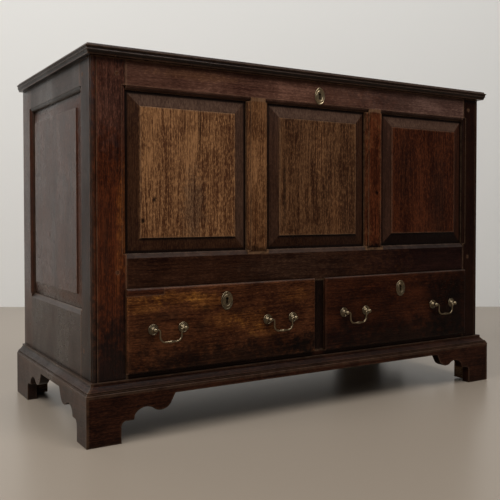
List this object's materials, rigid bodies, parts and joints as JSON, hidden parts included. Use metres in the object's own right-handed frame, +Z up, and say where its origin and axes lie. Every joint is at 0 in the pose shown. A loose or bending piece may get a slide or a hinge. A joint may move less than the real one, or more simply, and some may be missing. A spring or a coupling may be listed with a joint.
{
  "type": "mule chest",
  "caption": "Panelled wooden chest with a hinged lid over drawers with swinging bail handles, on a moulded base with scrolled bracket feet.",
  "frame": {"origin": "on the floor, at the middle of the bounding box of the closed chest", "axes": "+X runs along the front to the right, +Y from the front to the back, +Z up"},
  "size_m": [1.215, 0.5958, 0.842],
  "materials": {
    "oak_lid": "dark waxed oak, worn and greyed",
    "oak_frame": "dark red-brown waxed oak",
    "oak_panel": "waxed oak, mid brown",
    "oak_side": "dark grey-brown waxed oak",
    "oak_drawer_front": "waxed oak, mottled brown",
    "oak_base": "nearly black waxed oak",
    "oak_inside": "dry unfinished oak",
    "brass": "aged dull brass",
    "iron": "dark forged iron"
  },
  "bodies": {
    "case": {"back_boards": "oak_inside", "back_rails": "oak_inside", "base_moulding_front": "oak_base", "base_moulding_sides": "oak_base", "chest_escutcheon": "brass", "chest_floor": "oak_inside", "chest_lock": "iron", "corner_post_front_left": "oak_frame", "corner_post_front_right": "oak_frame", "corner_posts_rear": "oak_frame", "drawer_divider": "oak_frame", "drawer_runners": "oak_inside", "floor_ledges": "oak_inside", "foot_blocks": "oak_inside", "front_bottom_rail": "oak_frame", "front_middle_rail": "oak_frame", "front_muntins": "oak_frame", "front_panel_centre": "oak_panel", "front_panel_left": "oak_panel", "front_panel_right": "oak_panel", "front_top_rail": "oak_frame", "hinge_case_straps": "iron", "hinge_pins": "iron", "joint_pegs": "oak_frame", "plinth_front": "oak_base", "plinth_sides": "oak_base", "rear_brackets": "oak_inside", "side_panels": "oak_side", "side_rails": "oak_side"},
    "lid": {"lid_plank_front": "oak_lid", "lid_plank_rear": "oak_lid", "lid_battens": "oak_lid", "hinge_lid_straps": "iron", "lid_staple": "iron"},
    "chest_lock_bolt": {"chest_lock_bolt": "iron"},
    "drawer_left": {"drawer_left_back": "oak_inside", "drawer_left_bottom": "oak_inside", "drawer_left_escutcheon": "brass", "drawer_left_front": "oak_drawer_front", "drawer_left_lock": "iron", "drawer_left_nuts": "brass", "drawer_left_posts": "brass", "drawer_left_repair": "oak_drawer_front", "drawer_left_roses": "brass", "drawer_left_sides": "oak_inside"},
    "drawer_left_bolt": {"drawer_left_bolt": "iron"},
    "bail_left_drawer_left": {"bail_left_drawer_left": "brass"},
    "bail_left_drawer_right": {"bail_left_drawer_right": "brass"},
    "drawer_right": {"drawer_right_back": "oak_inside", "drawer_right_bottom": "oak_inside", "drawer_right_escutcheon": "brass", "drawer_right_front": "oak_drawer_front", "drawer_right_lock": "iron", "drawer_right_nuts": "brass", "drawer_right_posts": "brass", "drawer_right_roses": "brass", "drawer_right_sides": "oak_inside"},
    "drawer_right_bolt": {"drawer_right_bolt": "iron"},
    "bail_right_drawer_left": {"bail_right_drawer_left": "brass"},
    "bail_right_drawer_right": {"bail_right_drawer_right": "brass"}
  },
  "joints": [
    {"name": "lid_hinge", "type": "hinge", "parent": "case", "child": "lid", "pos_m": [0, 0.2929, 0.81875], "axis": [-1, 0, 0], "range_deg": [0, 100]},
    {"name": "chest_lock_bolt_slide", "type": "slide", "parent": "case", "child": "chest_lock_bolt", "axis": [1, 0, 0], "range_m": [0, 0.01]},
    {"name": "drawer_left_slide", "type": "slide", "parent": "case", "child": "drawer_left", "axis": [0, -1, 0], "range_m": [0, 0.35]},
    {"name": "drawer_left_bolt_slide", "type": "slide", "parent": "drawer_left", "child": "drawer_left_bolt", "axis": [0, 0, 1], "range_m": [0, 0.009]},
    {"name": "bail_left_drawer_left_swing", "type": "hinge", "parent": "drawer_left", "child": "bail_left_drawer_left", "pos_m": [-0.4155, -0.2924, 0.235], "axis": [-1, 0, 0], "range_deg": [-20, 150]},
    {"name": "bail_left_drawer_right_swing", "type": "hinge", "parent": "drawer_left", "child": "bail_left_drawer_right", "pos_m": [-0.1175, -0.2924, 0.235], "axis": [-1, 0, 0], "range_deg": [-20, 150]},
    {"name": "drawer_right_slide", "type": "slide", "parent": "case", "child": "drawer_right", "axis": [0, -1, 0], "range_m": [0, 0.35]},
    {"name": "drawer_right_bolt_slide", "type": "slide", "parent": "drawer_right", "child": "drawer_right_bolt", "axis": [0, 0, 1], "range_m": [0, 0.009]},
    {"name": "bail_right_drawer_left_swing", "type": "hinge", "parent": "drawer_right", "child": "bail_right_drawer_left", "pos_m": [0.116, -0.2924, 0.235], "axis": [-1, 0, 0], "range_deg": [-20, 150]},
    {"name": "bail_right_drawer_right_swing", "type": "hinge", "parent": "drawer_right", "child": "bail_right_drawer_right", "pos_m": [0.432, -0.2924, 0.235], "axis": [-1, 0, 0], "range_deg": [-20, 150]}
  ]
}
